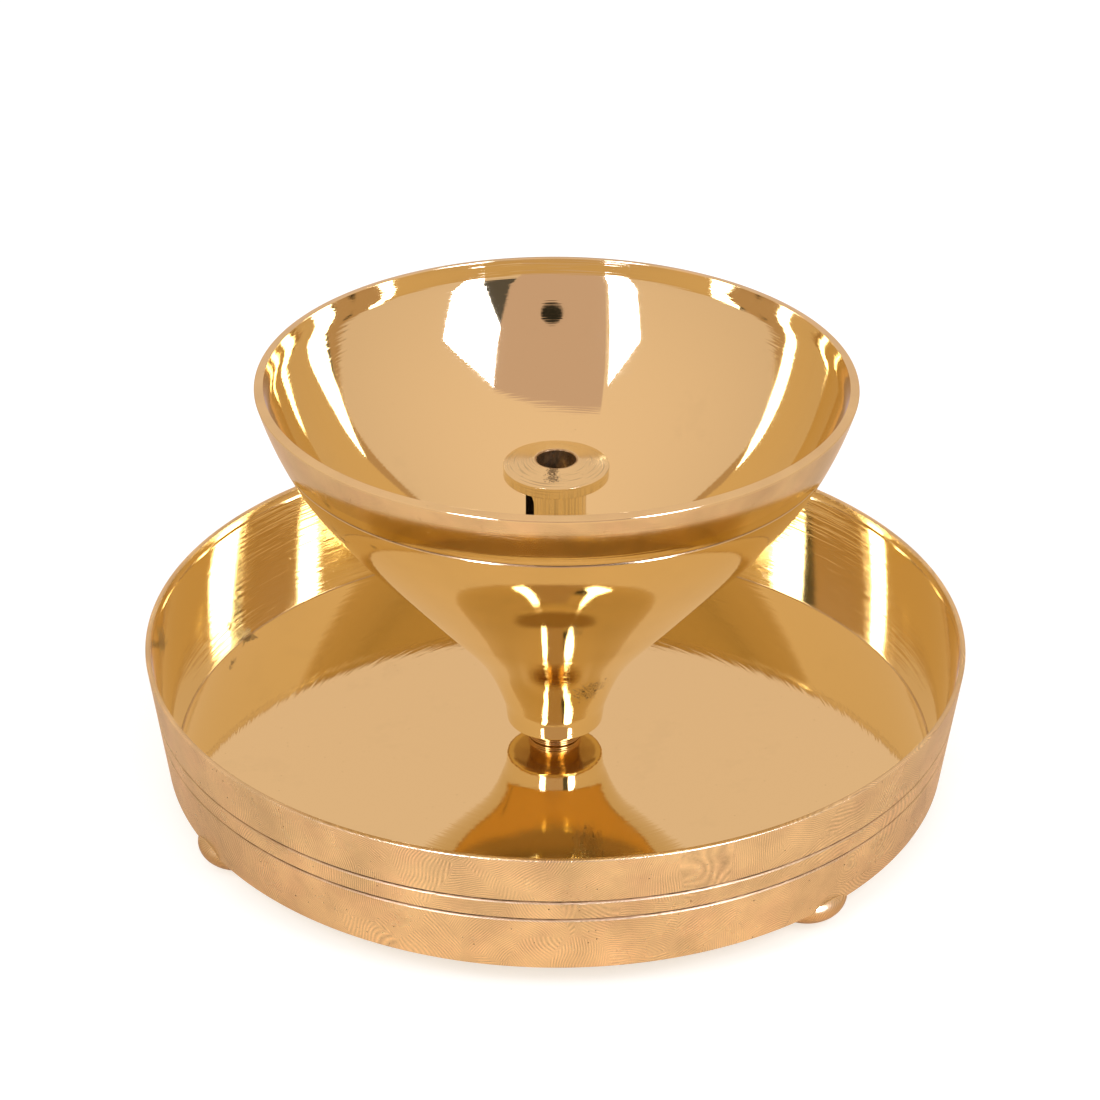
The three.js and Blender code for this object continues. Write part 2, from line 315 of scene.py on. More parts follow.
brass = dict(
    polished=(0.81, 0.69, 0.395, 1),
    clean=(0.825, 0.705, 0.405, 1),
    satin=(0.8, 0.675, 0.4, 1),
    ruddy=(0.79, 0.6, 0.38, 1),
    foot=(0.7, 0.53, 0.27, 1),
    tarnished=(0.7, 0.47, 0.2, 1),
    brown=(0.32, 0.18, 0.065, 1),
    stainAndReflection=(0.07, 0.038, 0.014, 1),
    # near black: thick dirt, and painted shade inside the wick's bore and slot
    dirt=(0.013, 0.0045, 0.0012, 1),
    # painted glow, not a brass colour: stands in for light after more glossy bounces than the
    # renderer follows
    lateBounceGlow=(0.32, 0.24, 0.28, 1),
)
black = (0, 0, 0, 1)
white = (1, 1, 1, 1)
# the second finish marks real dirt and also painted shade in the wick's bore and slot and on and
# round the collar
finishes = ("satin", "dirt", "turned")  # a piece's own attributes, from 0 to 1

commonLook = dict(
    polished=brass["polished"],
    satin=brass["satin"],
    ruddy=brass["ruddy"],
    hueSize=7.0,
    hueSpread=0.5,
    roughPolished=0.05,
    roughSatin=0.26,
    ringSpacing=0.5,
    ringWander=2.0,
    ringHeight=0.5,
    ringHeightSatin=0.3,
    ringTone=0.0,
    drawnTone=0.0,
    drawnSpacing=0.3,
    drawnLength=14.0,
    waveSize=14.0,
    waveHeight=6.0,
    swirlPatch=7.0,
    swirlRidge=0.28,
    swirlHeight=2.4,
    swirlTone=0.22,
    toneSpread=0.2,
    pitSpacing=0.9,
    pitSize=0.18,
    pitShare=0.5,
    pitPolished=0.15,  # how much of the pits is left where polished
    pitDepth=12.0,
    pitDirt=0.7,
    smudgeSize=9.0,
    smudgeCover=0.3,
    smudgeTone=0.02,
    smudgeRough=0.03,
    dirtGrain=1.4,
    dirtLeast=0.2,
    dirtAndShadeSheen=0.08,
    dirtAndShadeRough=0.35,
    dirtAndShadeMetal=0.95,  # how much of the metal's look thick dirt and painted shade take away
)

# from low, from high, and to low, to high where that isn't 0 to 1
ranges = dict(
    tone=(0.3, 0.7),
    hue=(0.45, 0.68),
    brokenDirtAndShade=(0.42, 0.56),
    solidDirtAndShade=(0.86, 0.97),
    tarnishAndShade=(0.0, 0.6, 0.0, 0.9),
    thickDirtAndShade=(0.6, 0.95),
)
lateBounce = 3.5


def useGroup(key, vector, **values):
    inputs = {"Vector": vector, **values}
    return wired("ShaderNodeGroup", inputs, node_tree=groups[key])


def newMaterial(name):
    material = bpy.data.materials.new(name)
    material.use_nodes = True
    return material, material.node_tree


def brassMaterial(name, blots=(), **changes):
    look = {**commonLook, **changes}
    size = {key: value * mm for key, value in look.items() if isinstance(value, float)}
    material, tree = newMaterial(name)
    shader = tree.nodes["Principled BSDF"].inputs
    vector = objectPlace(tree)
    satin, dirt, turned = (
        addNode(tree, "ShaderNodeAttribute", attribute_name=label).outputs["Fac"]
        for label in finishes
    )
    rings = useGroup("rings", vector, Spacing=size["ringSpacing"], Wander=look["ringWander"])
    swirls = useGroup("swirls", vector, Patch=size["swirlPatch"], Ridge=size["swirlRidge"])
    pitted = {"Spacing": size["pitSpacing"], "Size": look["pitSize"], "Share": look["pitShare"]}
    pits = useGroup("pits", vector, **pitted)
    waves = useGroup("smudges", vector, Size=size["waveSize"])
    smears = useGroup("smudges", vector, Size=size["smudgeSize"], Cover=look["smudgeCover"])

    # surface relief, in thousandths of a millimetre
    pitted = times(pits["Mask"], mixValue(satin, look["pitPolished"], 1.0))
    grooved = times(turned, look["ringHeight"])
    ringHeight = mixValue(satin, grooved, look["ringHeightSatin"])
    relief = times(rings["Height"], ringHeight)
    relief = timesPlus(waves["Height"], look["waveHeight"], relief)
    arcHeight = times(satin, look["swirlHeight"])
    relief = timesPlus(swirls["Height"], arcHeight, relief)
    relief = timesPlus(pitted, -look["pitDepth"], relief)
    bump = wired("ShaderNodeBump", {"Distance": 0.001 * mm, "Height": relief})
    feed(shader["Normal"], bump[0])

    # colour
    hue = noise(vector, 1 / size["hueSize"], 3.0, 0.6)
    hue = remap(hue, *ranges["hue"], 0.0, look["hueSpread"])
    brushed = mixColour(hue, look["satin"], look["ruddy"])
    base = mixColour(satin, look["polished"], brushed)
    spread = look["toneSpread"]
    cloudy = remap(swirls["Tone"], *ranges["tone"], 1 - spread, 1 + spread / 2)
    tone = mixValue(satin, 1.0, cloudy)
    scratched = times(satin, look["swirlTone"])
    tone = timesPlus(swirls["Height"], scratched, tone)
    marked = times(turned, -look["ringTone"])
    tone = timesPlus(rings["Line"], marked, tone)
    if look["drawnTone"]:
        spacing, length = size["drawnSpacing"], size["drawnLength"]
        drawn = useGroup("drawn", vector, Spacing=spacing, Length=length)
        plain = timesPlus(turned, look["drawnTone"], -look["drawnTone"])
        tone = timesPlus(drawn["Line"], plain, tone)
    tone = timesPlus(smears["Mask"], -look["smudgeTone"], tone)
    base = mixColour(1.0, base, greyTone(tone), "MULTIPLY")
    # darkening from the second finish: real dirt and tarnish, and painted shade where it fills the
    # wick's bore and slot and on and round the collar
    broken = noise(vector, 1 / size["dirtGrain"], 3.0, 0.7)
    broken = remap(broken, *ranges["brokenDirtAndShade"], look["dirtLeast"], 1.0)
    soiledAndShaded = times(calc("POWER", dirt, 2.0), broken)
    soiledAndShaded = highest(soiledAndShaded, remap(dirt, *ranges["solidDirtAndShade"]))
    soiledAndShaded = highest(soiledAndShaded, times(pitted, look["pitDirt"]))
    roughMarks = soiledAndShaded
    for centre, reach, grain, ragged, strength, curls in blots:
        lengths = {"Centre": [x * mm for x in centre], "Reach": reach * mm, "Grain": grain * mm}
        spot = useGroup("blot", vector, Ragged=ragged, Curls=curls, **lengths)
        mark = times(spot["Mask"], strength)
        base = mixColour(mark, base, brass["stainAndReflection"])
        roughMarks = highest(roughMarks, mark)
    tarnishAndShade = remap(soiledAndShaded, *ranges["tarnishAndShade"])
    base = mixColour(tarnishAndShade, base, brass["brown"])
    thick = remap(soiledAndShaded, *ranges["thickDirtAndShade"])
    base = mixColour(thick, base, brass["dirt"])
    feed(shader["Base Color"], base)
    metal = timesPlus(thick, -look["dirtAndShadeMetal"], 1.0)
    feed(shader["Metallic"], metal)
    feed(shader["Specular IOR Level"], look["dirtAndShadeSheen"])

    # roughness
    rough = mixValue(satin, look["roughPolished"], look["roughSatin"])
    rough = timesPlus(smears["Mask"], look["smudgeRough"], rough)
    rough = timesPlus(roughMarks, look["dirtAndShadeRough"], rough, clamp=True)
    feed(shader["Roughness"], rough)

    # light that has gone from brass to brass more often than the renderer follows
    bounces = addNode(tree, "ShaderNodeLightPath").outputs["Glossy Depth"]
    late = calc("GREATER_THAN", bounces, lateBounce)
    feed(shader["Emission Strength"], 1.0)
    feed(shader["Emission Color"], mixColour(late, black, brass["lateBounceGlow"]))
    return material


# Profiles for the lathe: radius, height and the three finish attributes of each point


def corner(radius, height, fillet=0.0, satin=0.0, dirt=0.0, turned=0.0):
    finish = (satin, dirt, turned)
    return {"at": Vector((radius, height)), "fillet": fillet, "finish": finish}


arcs = dict(
    step=9.0,  # degrees
    leastTurn=2.0,
    edgeShare=0.45,  # of the flat beside it that an arc may take
    margin=0.06,  # of the ring close to each end, which keeps the flats evenly shaded
    marginShare=0.2,
)


def arcAtCorner(before, here, after, fillet):
    into = (here - before).normalized()
    out = (after - here).normalized()
    turn = into.angle(out, 0.0)
    if fillet <= 0 or turn < math.radians(arcs["leastTurn"]):
        return [here]
    edge = min((here - before).length, (after - here).length)
    reach = min(fillet * math.tan(turn / 2), arcs["edgeShare"] * edge)
    radius = reach / math.tan(turn / 2)
    start, end = here - into * reach, here + out * reach
    side = 1 if into.x * out.y - into.y * out.x > 0 else -1
    centre = start + Vector((-into.y, into.x)) * side * radius
    spoke = start - centre
    steps = max(2, math.ceil(math.degrees(turn) / arcs["step"]))
    turns = [Matrix.Rotation(side * turn * i / steps, 2) for i in range(steps + 1)]
    points = [centre + rotation @ spoke for rotation in turns]
    margin = min(arcs["margin"], arcs["marginShare"] * reach)
    return [start - into * margin, *points, end + out * margin]


def profile(corners, loop=False):
    rows = []
    count = len(corners)
    for i, this in enumerate(corners):
        if loop or 0 < i < count - 1:
            before = corners[i - 1]["at"]
            after = corners[(i + 1) % count]["at"]
            spots = arcAtCorner(before, this["at"], after, this["fillet"])
        else:
            spots = [this["at"]]
        rows += [(spot.x, spot.y, *this["finish"]) for spot in spots]
    if loop:
        rows.append(rows[0])
    return rows


def addAttribute(mesh, label, values):
    mesh.attributes.new(label, "FLOAT", "POINT").data.foreach_set("value", values)


def profileObject(name, rows):
    mesh = bpy.data.meshes.new(name)
    points = [(row[0] * mm, 0, row[1] * mm) for row in rows]
    mesh.from_pydata(points, [(i, i + 1) for i in range(len(rows) - 1)], [])
    for column, label in enumerate(finishes, 2):
        addAttribute(mesh, label, [row[column] for row in rows])
    return linked(name, mesh)


def chain(geometry, *steps):
    for kind, inputs in steps:
        geometry = wired("GeometryNode" + kind, {0: geometry, **inputs})[0]
    return geometry


def makeLatheTree():
    # a profile in the XZ plane, turned round Z into one closed skin
    tree, given, result = newTree(
        "GeometryNodeTree",
        "turnOnLathe",
        {"Profile": "Geometry", "Segments": 256, "Join Distance": 1e-7, "Material": "Material"},
        {"Turned": "Geometry"},
    )
    tree.is_modifier = True
    size = wired("GeometryNodeAttributeDomainSize", {0: given["Profile"]})
    columns = plus(given["Segments"], 1.0)
    inputs = {"Vertices X": size["Point Count"], "Vertices Y": columns}
    skin = wired("GeometryNodeMeshGrid", inputs)["Mesh"]
    index = addNode(tree, "GeometryNodeInputIndex").outputs[0]
    ring = calc("FLOOR", over(plus(index, 0.5), columns))
    step = minus(index, times(ring, columns))
    angle = over(times(step, math.tau), given["Segments"])

    def sampled(kind, value):
        inputs = {"Geometry": given["Profile"], "Value": value, "Index": ring}
        return wired("GeometryNodeSampleIndex", inputs, data_type=kind)[0]

    position = addNode(tree, "GeometryNodeInputPosition").outputs[0]
    spot = split(sampled("FLOAT_VECTOR", position))
    around = joined(*onCircle(spot[0], angle), spot[2])
    for label in finishes:
        read = addNode(tree, "GeometryNodeInputNamedAttribute", {"Name": label})
        value = sampled("FLOAT", read.outputs[0])
        inputs = {"Geometry": skin, "Name": label, "Value": value}
        skin = wired("GeometryNodeStoreNamedAttribute", inputs, data_type="FLOAT")[0]
    turned = chain(
        skin,
        ("SetPosition", {"Position": around}),
        ("MergeByDistance", {"Distance": given["Join Distance"]}),
        ("SetShadeSmooth", {}),
        ("RealizeInstances", {}),
        ("SetMaterial", {"Material": given["Material"]}),
    )
    feed(result["Turned"], turned)
    return tree


latheTree = makeLatheTree()
sharpFrom = 32  # degrees between faces


def faceOutwards(mesh):
    shape = bmesh.new()
    shape.from_mesh(mesh)
    if shape.calc_volume(signed=True) < 0:
        bmesh.ops.reverse_faces(shape, faces=shape.faces)
    shape.to_mesh(mesh)
    shape.free()


def madePlain(piece):
    # the evaluated object becomes a plain mesh of one material
    depsgraph = bpy.context.evaluated_depsgraph_get()
    mesh = bpy.data.meshes.new_from_object(piece.evaluated_get(depsgraph))
    piece.modifiers.clear()
    old = piece.data
    piece.data = mesh
    bpy.data.meshes.remove(old)
    mesh.name = piece.name
    faceOutwards(mesh)
    mesh.set_sharp_from_angle(angle=math.radians(sharpFrom))
    # faces that a cutter left get the piece's own material too
    own = next(material for material in mesh.materials if material)
    mesh.materials.clear()
    mesh.materials.append(own)
    mesh.polygons.foreach_set("material_index", [0] * len(mesh.polygons))
    return piece


def shapedByNodes(piece, group, values):
    modifier = piece.modifiers.new("shape", "NODES")
    modifier.node_group = group
    for item in group.interface.items_tree:
        if item.in_out == "INPUT" and item.name in values:
            modifier[item.identifier] = values[item.name]
    return madePlain(piece)


def turnPiece(name, rows, material, segments=256):
    values = {"Segments": segments, "Material": material}
    return shapedByNodes(profileObject(name, rows), latheTree, values)


def prismCutter(name, outline, start, end, azimuth=0.0, dirt=0.0):
    # an outline, across and up, drawn out along the azimuth
    turn = math.radians(azimuth)
    ahead = Vector((math.cos(turn), math.sin(turn), 0))
    side = Vector((-math.sin(turn), math.cos(turn), 0))
    verts = []
    for reach in (start, end):
        verts += [(ahead * reach + side * x + Vector((0, 0, z))) * mm for x, z in outline]
    count = len(outline)
    faces = [tuple(range(count))[::-1], tuple(range(count, 2 * count))]
    faces += [(i, (i + 1) % count, (i + 1) % count + count, i + count) for i in range(count)]
    mesh = bpy.data.meshes.new(name)
    mesh.from_pydata(verts, [], faces)
    faceOutwards(mesh)
    addAttribute(mesh, "dirt", [dirt] * len(verts))
    return linked(name, mesh)


def cutAway(piece, cutter):
    modifier = piece.modifiers.new("cut", "BOOLEAN")
    modifier.operation = "DIFFERENCE"
    modifier.solver = "EXACT"
    modifier.object = cutter
    madePlain(piece)
    bpy.data.objects.remove(cutter)
    return piece


def standFor(piece, body, slotName, *nodes):
    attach(piece, body)
    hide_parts(*nodes)
    print("made", piece.name, "polygons", len(piece.data.polygons))


# Tray
tray = dict(
    underside=1.6,
    floor=3.1,
    rim=20.5,
    rimRadius=55.0,
    rimWidth=0.7,
    edgeRadius=52.9,
    edge=3.2,
    bevel=2.6,
    floorRadius=51.49,
    grooveDrops=(9.48, 6.64),  # below the rim
    grooveWidth=0.5,
    grooveDepth=0.3,
    grooveGuard=0.1,  # clean wall beside a groove
    lineDrop=1.2,
    lineLand=0.12,
    lineDepth=0.05,
    wallDrop=1.55,  # below the rim, where the tool's lines begin
    wallFoot=3.4,
    wallSteps=22,
    bulge=0.45,  # how far the inner wall curves out halfway up
    holeRadius=2.3,
)


def trayWall(height):
    share = (height - tray["edge"]) / (tray["rim"] - tray["edge"])
    return tray["edgeRadius"] + (tray["rimRadius"] - tray["edgeRadius"]) * share


def trayInside(height):
    share = (height - tray["floor"]) / (tray["rim"] - tray["floor"])
    rim = tray["rimRadius"] - tray["rimWidth"]
    straight = tray["floorRadius"] + (rim - tray["floorRadius"]) * share
    return straight + tray["bulge"] * 4 * share * (1 - share)


def trayRows():
    rim, floor = tray["rim"], tray["floor"]
    corners = [
        corner(tray["holeRadius"], tray["underside"], satin=1),
        corner(tray["edgeRadius"] - tray["bevel"], tray["underside"], 0.5, satin=1),
        corner(tray["edgeRadius"], tray["edge"], 0.35, satin=1),
    ]
    half = tray["grooveWidth"] / 2
    guard = half + tray["grooveGuard"]
    for drop in tray["grooveDrops"]:
        # above or below the middle, depth, fillet, darkening
        for aside, depth, fillet, dirt in (
            (-guard, 0, 0, 0),
            (-half, 0, 0.05, 0.4),
            (0, tray["grooveDepth"], 0.08, 0.93),
            (half, 0, 0.04, 0.5),
            (guard, 0, 0, 0),
        ):
            height = rim - drop + aside
            corners.append(corner(trayWall(height) - depth, height, fillet, 1, dirt))
    line = rim - tray["lineDrop"]
    land = line + tray["lineLand"]
    corners += [
        corner(tray["rimRadius"], rim, 0.16, satin=1),
        corner(tray["rimRadius"] - tray["rimWidth"], rim, 0.12, satin=0.4, dirt=0.45),
        corner(trayInside(land), land, 0.03),
        corner(trayInside(line) + tray["lineDepth"], line, 0.04, dirt=0.6),
    ]
    top, foot, steps = rim - tray["wallDrop"], tray["wallFoot"], tray["wallSteps"]
    for i in range(steps + 1):
        height = top + (foot - top) * i / steps
        corners.append(corner(trayInside(height), height, 0 if i else 0.1, turned=1))
    corners += [
        corner(tray["floorRadius"], floor, 0.12, dirt=0.6, turned=1),
        corner(tray["floorRadius"] - 0.3, floor, turned=0.5),
        corner(tray["holeRadius"], floor, turned=0.5),
    ]
    return profile(corners, loop=True)


trayMaterial = brassMaterial(
    "trayBrass",
    polished=brass["clean"],
    roughPolished=0.045,
    roughSatin=0.27,
    ringSpacing=0.55,
    ringWander=4.0,
    ringHeight=17.0,
    ringHeightSatin=0.4,
    waveSize=18.0,
    waveHeight=5.0,
    dirtGrain=5.0,
    dirtLeast=0.8,
    # place, reach, grain, raggedness, strength, share in curls
    blots=[
        # the first two are painted reflections of the dark shade beside the right softbox, on the
        # inner wall at the back left
        ((-46.6, 22.9, 6.3), 0.9, 0.3, 2.0, 0.6, 0.0),
        ((-44.6, 25.3, 3.3), 1.3, 0.6, 1.2, 0.5, 0.0),
        ((-54.0, 3.0, 16.0), 2.0, 0.5, 1.6, 0.55, 0.3),
    ],
)
standFor(turnPiece("tray_pan", trayRows(), trayMaterial, 320), "root", "tray_brass", "tray")

# Bowl and stem
bowl = dict(
    rim=57.8,
    rimRadius=38.92,
    rimFillet=0.4,
    lipWidth=0.98,
    lipFall=0.3,
    lipHeight=0.35,
    steepHeights=(2.75, 1.9),  # below the lip, where the inner wall turns more upright
    steepSlope=0.2,
    linedHeight=10.0,  # below the lip, where the tool's lines show most
    linedShares=(0.25, 0.5),
    waistWall=1.3,
    stemFoot=6.0,
    stemFootRadius=6.1,
    bandCorners=((6.85, 8.6, 6.0), (6.5, 5.75, 0.45)),  # upright band at the foot
    bandFrom=9.9,
    stemHollow=0.5,
    hollowEdge=(5.5, 0.45),
    waist=25.36,
    waistRadius=17.83,
    rimSlope=0.28,
    rimReach=14.55,
    waistSlope=0.855,
    waistReachUp=16.15,
    waistReachDown=11.3,
    stemSlope=0.289,
    stemReach=10.66,
    groove=49.96,
    grooveWidth=0.4,
    grooveDepth=0.18,
    grooveGuard=0.2,
    satinDownTo=51.8,
    satinEdge=0.05,
    floor=20.5,
    floorFillet=4.5,
    clampHole=(2.3, 13.5),
    wickHole=(3.0, 15.5),
    collarSeat=3.65,
    steps=56,
    filletSteps=12,
)


def along(slope, reach):
    return Vector((slope, 1)).normalized() * reach


def bezier(points, share):
    a, b, c, d = points
    rest = 1 - share
    return a * rest**3 + b * 3 * rest**2 * share + c * 3 * rest * share**2 + d * share**3


def bezierHeading(points, share):
    a, b, c, d = points
    rest = 1 - share
    heading = (b - a) * rest**2 + (c - b) * 2 * rest * share + (d - c) * share**2
    return heading.normalized()


def bowlCurves():
    rim = Vector((bowl["rimRadius"], bowl["rim"] - bowl["lipFall"]))
    waist = Vector((bowl["waistRadius"], bowl["waist"]))
    foot = Vector((bowl["stemFootRadius"], bowl["stemFoot"]))
    aboveWaist = waist + along(bowl["waistSlope"], bowl["waistReachUp"])
    belowWaist = waist - along(bowl["waistSlope"], bowl["waistReachDown"])
    aboveFoot = foot + along(bowl["stemSlope"], bowl["stemReach"])
    upper = (rim, rim - along(bowl["rimSlope"], bowl["rimReach"]), aboveWaist, waist)
    return upper, (waist, belowWaist, aboveFoot, foot)


def bowlOutside(upper, lower, shares):
    # from the rim down
    spots, stem = ([bezier(curve, share) for share in shares] for curve in (upper, lower))

    def between(low, high, **finish):
        return [corner(s.x, s.y, **finish) for s in spots if low < s.y < high]

    def onWall(height, fillet=0.0, depth=0.0, **finish):
        low, high = 0.0, 1.0
        for _ in range(40):
            middle = (low + high) / 2
            if bezier(upper, middle).y > height:
                low = middle
            else:
                high = middle
        return corner(bezier(upper, low).x - depth, height, fillet, **finish)

    rim, groove, guard = upper[0], bowl["groove"], bowl["grooveGuard"]
    half = bowl["grooveWidth"] / 2
    satinEnd, edge = bowl["satinDownTo"], bowl["satinEdge"]
    return [
        corner(rim.x, rim.y, bowl["rimFillet"], satin=0.3),
        corner(*bezier(upper, 0.6 / bowl["steps"]), satin=1),
        *between(satinEnd + edge, rim.y - bowl["rimFillet"], satin=1),
        onWall(satinEnd + edge, satin=1),
        onWall(satinEnd - edge, turned=0.5),
        *between(groove + half + guard, satinEnd - 2 * edge, turned=0.5),
        onWall(groove + half, 0.03, dirt=0.4),
        onWall(groove, 0.05, bowl["grooveDepth"], dirt=0.9),
        onWall(groove - half, 0.03, dirt=0.3),
        *between(0, groove - half - guard, satin=0.15, turned=0.25),
        *[corner(*spot, turned=1) for spot in stem if spot.y > bowl["bandFrom"]],
        *[corner(*spot, turned=1) for spot in bowl["bandCorners"]],
    ]


def bowlInside(upper, lower, shares):
    # a wall that thickens from the lip down, and the rounded floor
    spots = []
    for curve, thin in ((upper, bowl["lipWidth"]), (lower, bowl["waistWall"])):
        for share in shares:
            wall = thin + (bowl["waistWall"] - thin) * share
            heading = bezierHeading(curve, share)
            spots.append(bezier(curve, share) + Vector((heading.y, -heading.x)) * wall)
    rim, floor, slope = bowl["rim"], bowl["floor"], bowl["waistSlope"]
    filletStart = floor + bowl["floorFillet"] * (1 - slope / math.hypot(slope, 1))
    spots = [s for s in spots if filletStart < s.y < rim - bowl["lipHeight"]]

    begin, full = (rim - drop for drop in bowl["steepHeights"])
    inset = 0.0
    lower = spots[-1].copy()
    for spot in reversed(spots[:-1]):
        step = spot - lower
        lower = spot.copy()
        steep = min(1.0, max(0.0, (spot.y - begin) / (full - begin)))
        inset += steep * (step.x - bowl["steepSlope"] * step.y)
        spot.x -= inset
    heading = spots[0] - spots[1]
    lip = spots[0] + heading * (rim - spots[0].y) / heading.y
    inside = [corner(lip.x, lip.y, 0.14, satin=0.4)]
    least, more = bowl["linedShares"]
    for spot in spots:
        lined = max(0.0, 1 - (rim - spot.y) / bowl["linedHeight"])
        inside.append(corner(spot.x, spot.y, turned=least + more * lined))

    last = spots[-1]
    knee = Vector((last.x - (last.y - floor) * slope, floor))
    end = Vector((knee.x - bowl["floorFillet"] * math.tan(math.atan(1 / slope) / 2), floor))
    for i in range(1, bowl["filletSteps"] + 1):
        share = i / bowl["filletSteps"]
        spot = last * (1 - share) ** 2 + knee * 2 * share * (1 - share) + end * share**2
        inside.append(corner(spot.x, spot.y))
    return inside


def bowlRows():
    curves = bowlCurves()
    shares = [i / bowl["steps"] for i in range(1, bowl["steps"] + 1)]
    outside, inside = bowlOutside(*curves, shares), bowlInside(*curves, shares)
    clampRadius, clampTop = bowl["clampHole"]
    wickRadius, wickBottom = bowl["wickHole"]
    seat = bowl["stemFoot"] + bowl["stemHollow"]
    hollowRadius, hollowDrop = bowl["hollowEdge"]
    below = [
        corner(0, clampTop),
        corner(clampRadius, clampTop),
        corner(clampRadius, seat),
        # darker where the collar sits in the hollow under the stem: partly dirt, partly painted
        # shade
        corner(bowl["collarSeat"], seat, dirt=0.7, turned=1),
        corner(hollowRadius, seat - hollowDrop, dirt=0.6, turned=1),
    ]
    above = [
        corner(wickRadius, bowl["floor"]),
        corner(wickRadius, wickBottom),
        corner(0, wickBottom),
    ]
    return profile([*below, *reversed(outside), *inside, *above])


bowlMaterial = brassMaterial(
    "bowlBrass",
    roughPolished=0.035,
    roughSatin=0.1,
    ringSpacing=0.35,
    ringHeight=10.0,
    ringHeightSatin=2.0,
    waveSize=16.0,
    swirlHeight=0.25,
    swirlTone=0.02,
    pitShare=0.06,
    dirtGrain=5.0,
    dirtLeast=0.8,
    # a stain low on the stem
    blots=[((4.7, -8.6, 15.4), 2.5, 0.6, 1.3, 0.9, 1.0)],
)
standFor(turnPiece("bowl_and_stem", bowlRows(), bowlMaterial), "bowl", "bowl_brass", "bowl")

# Collar between stem and tray
collar = dict(
    bottom=3.2,
    top=6.4,
    radius=3.65,
    neckRadius=3.45,
    bore=2.3,
    rings=3,
    ringedHeight=0.95,
    ringDepth=0.12,
    ringShares=(0.3, 0.8),  # of the pitch, where a ring's flat begins and ends
)


def collarRows():
    pitch = collar["ringedHeight"] / collar["rings"]
    corners = [corner(collar["bore"], collar["bottom"])]
    for i in range(collar["rings"]):
        start = collar["bottom"] + i * pitch
        corners.append(corner(collar["radius"] - collar["ringDepth"], start, 0.03, dirt=0.85))
        for share in collar["ringShares"]:
            corners.append(corner(collar["radius"], start + share * pitch, 0.06, dirt=0.5))
    step = collar["bottom"] + collar["ringedHeight"]
    corners += [
        corner(collar["neckRadius"], step, 0.05, dirt=0.7),
        corner(collar["neckRadius"], collar["top"], 0.05, dirt=0.6, turned=1),
        corner(collar["bore"], collar["top"]),
    ]
    return profile(corners, loop=True)


# the collar is darker and browner than the bowl: partly tarnish, partly painted shade under the
# stem's foot
collarMaterial = brassMaterial(
    "collarBrass",
    polished=brass["tarnished"],
    roughPolished=0.1,
    ringSpacing=0.3,
    ringHeight=3.0,
    dirtLeast=0.7,
)
collarPiece = turnPiece("collar_rings", collarRows(), collarMaterial, 128)
standFor(collarPiece, "collar", "collar_brass", "collar")

# Wick tube and its washer
wick = dict(
    foot=21.3,
    flangeUnderside=43.3,
    flangeTop=44.8,
    crown=45.65,
    crownShare=0.12,  # of the rise, close round the bore
    crownSharpness=5.0,
    crownLand=0.4,
    crownSteps=9,
    flangeRadius=6.95,
    tubeRadius=4.0,
    tubeFillet=1.1,
    boreRadius=2.6,
    boreFloor=23.3,
    boreShade=((0.4, 0.8), (2.2, 0.85), (5.0, 1)),  # drop below the crown, and painted shade down the bore
    spigotRadius=2.7,
    spigotLength=4.0,
    tipBevel=0.6,
    slotWidth=3.1,
    slotAzimuth=201.0,
    slotFrom=24.5,
    slotTo=41.8,
    slotReach=8.0,
    slotSteps=10,
)


def wickRows():
    foot, spigot, tube = wick["foot"], wick["spigotRadius"], wick["tubeRadius"]
    flange, top, bore = wick["flangeRadius"], wick["flangeTop"], wick["boreRadius"]
    tip = foot - wick["spigotLength"]
    corners = [
        corner(0, tip),
        corner(spigot - wick["tipBevel"], tip, 0.05),
        corner(spigot, tip + wick["tipBevel"], 0.05),
        corner(spigot, foot),
        corner(tube, foot, 0.1),
        corner(tube, wick["flangeUnderside"], wick["tubeFillet"]),
        corner(flange, wick["flangeUnderside"], 0.1),
        corner(flange, top, 0.04, turned=1),
    ]
    # the flange's top is nearly flat, then rises to a crown round the bore
    rise, sharp, steps = wick["crown"] - top, wick["crownShare"], wick["crownSteps"]
    crownRadius = bore + wick["crownLand"]
    for i in range(1, steps + 1):
        share = i / steps
        reach = flange + (crownRadius - flange) * share
        climb = share * (1 - sharp) + sharp * share ** wick["crownSharpness"]
        corners.append(corner(reach, top + rise * climb, 0.1 if i == steps else 0, turned=1))
    # from the bore's edge down, the bore is painted near black: painted shade inside the tube
    corners.append(corner(bore, wick["crown"], 0.12, dirt=0.84, turned=1))
    corners += [corner(bore, wick["crown"] - drop, dirt=dirt) for drop, dirt in wick["boreShade"]]
    corners += [corner(bore, wick["boreFloor"], 0.3, dirt=1), corner(0, wick["boreFloor"], dirt=1)]
    return profile(corners)


def wickSlot():
    # an upright slot with round ends, through the wall at one side
    half, steps = wick["slotWidth"] / 2, wick["slotSteps"]
    outline = []
    for middle, first in ((wick["slotTo"] - half, 0), (wick["slotFrom"] + half, 1)):
        for i in range(steps + 1):
            angle = math.pi * (first + i / steps)
            outline.append((half * math.cos(angle), middle + half * math.sin(angle)))
    # the slot's cut faces are fully darkened: painted shade inside the slot
    return prismCutter("slot", outline, 0.0, wick["slotReach"], wick["slotAzimuth"], 1.0)


